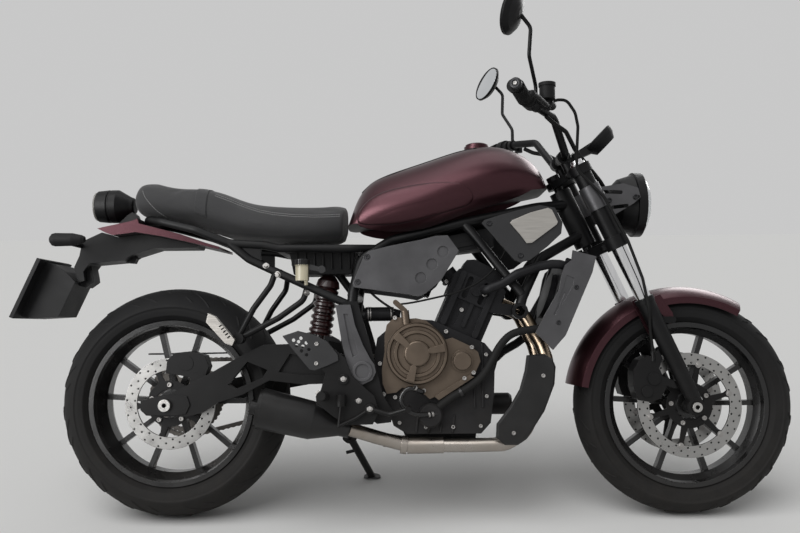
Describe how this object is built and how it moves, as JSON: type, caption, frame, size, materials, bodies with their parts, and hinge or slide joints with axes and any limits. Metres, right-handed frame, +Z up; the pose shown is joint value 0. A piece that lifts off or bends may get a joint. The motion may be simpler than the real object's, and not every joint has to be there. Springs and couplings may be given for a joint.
{
  "type": "cafe racer motorcycle",
  "caption": "Naked cafe racer motorcycle leaning on its side stand, with turning wheels, steering and a folding stand.",
  "frame": {"origin": "the rear tyre's contact point on the floor, with the motorcycle leaning to its left on the side stand", "axes": "+X towards the front wheel, +Y to the rider's left, +Z up from the floor"},
  "size_m": [2.138, 0.8053, 1.3959],
  "materials": {
    "plum_paint": "satin metallic",
    "black_enamel": "satin",
    "grey_paint": "satin metallic",
    "charcoal_paint": "matte",
    "brushed_aluminium": "brushed",
    "engine_casting": "cast, painted dark",
    "bronze_paint": "satin",
    "polished_steel": "polished",
    "fork_chrome": "mirror",
    "heatproof_black": "satin",
    "tyre_rubber": "matte",
    "soft_rubber": "matte",
    "seat_cloth": "woven",
    "black_plastic": "matte",
    "cream_plastic": "translucent",
    "lamp_plastic": "gloss",
    "lamp_glass": "clear",
    "spring_steel": "gloss"
  },
  "bodies": {
    "chassis": {"drive_chain": "polished_steel", "rear_axle": "polished_steel", "swingarm": "black_enamel", "main_frame": "black_enamel", "subframe": "black_enamel", "engine_crankcase": "engine_casting", "engine_cylinders": "engine_casting", "engine_covers": "bronze_paint", "sprocket_cover": "engine_casting", "airbox": "black_plastic", "radiator": "engine_casting", "radiator_cowls": "grey_paint", "exhaust_pipes": "polished_steel", "heat_shield": "heatproof_black", "silencer": "heatproof_black", "fuel_tank": "plum_paint", "seat": "seat_cloth", "side_covers": "grey_paint", "intake_covers": "charcoal_paint", "intake_inserts": "brushed_aluminium", "pivot_covers": "grey_paint", "heel_guards": "charcoal_paint", "rider_footrests": "black_enamel", "foot_levers": "black_enamel", "pillion_pegs": "brushed_aluminium", "tail_lamp": "lamp_plastic", "tail_cowl": "plum_paint", "plate_holder": "black_plastic", "rear_indicators": "black_plastic", "rear_caliper": "black_enamel", "brake_reservoir": "cream_plastic", "rear_shock": "spring_steel"},
    "steering": {"fork_yokes": "black_enamel", "fork_tubes": "fork_chrome", "fork_lowers": "black_enamel", "front_axle": "polished_steel", "handlebar": "black_enamel", "grips": "soft_rubber", "bar_controls": "black_plastic", "mirrors": "black_enamel", "headlamp_shell": "black_enamel", "headlamp_lens": "lamp_glass", "headlamp_brackets": "grey_paint", "instrument": "black_plastic", "front_fender": "plum_paint", "front_calipers": "black_enamel", "control_hoses": "soft_rubber"},
    "front_wheel": {"front_tyre": "tyre_rubber", "front_rim": "black_enamel", "front_discs": "polished_steel"},
    "rear_wheel": {"rear_tyre": "tyre_rubber", "rear_rim": "black_enamel", "rear_disc": "polished_steel", "rear_sprocket": "polished_steel"},
    "side_stand": {"side_stand": "black_enamel"}
  },
  "joints": [
    {"name": "steering_turn", "type": "hinge", "parent": "chassis", "child": "steering", "pos_m": [1.07078, 0.13422, 0.90704], "axis": [-0.4195, 0.1498, 0.8953], "range_deg": [-32, 32]},
    {"name": "front_wheel_spin", "type": "hinge", "parent": "steering", "child": "front_wheel", "pos_m": [1.405, 0.03218, 0.29733], "axis": [0, 0.9863, -0.165], "continuous": true},
    {"name": "rear_wheel_spin", "type": "hinge", "parent": "chassis", "child": "rear_wheel", "pos_m": [0, 0.03466, 0.31212], "axis": [0, 0.9863, -0.165], "continuous": true},
    {"name": "stand_fold", "type": "hinge", "parent": "chassis", "child": "side_stand", "pos_m": [0.47, 0.1531, 0.17164], "axis": [-0.0691, 0.8214, 0.5662], "range_deg": [0, 96.87]}
  ]
}
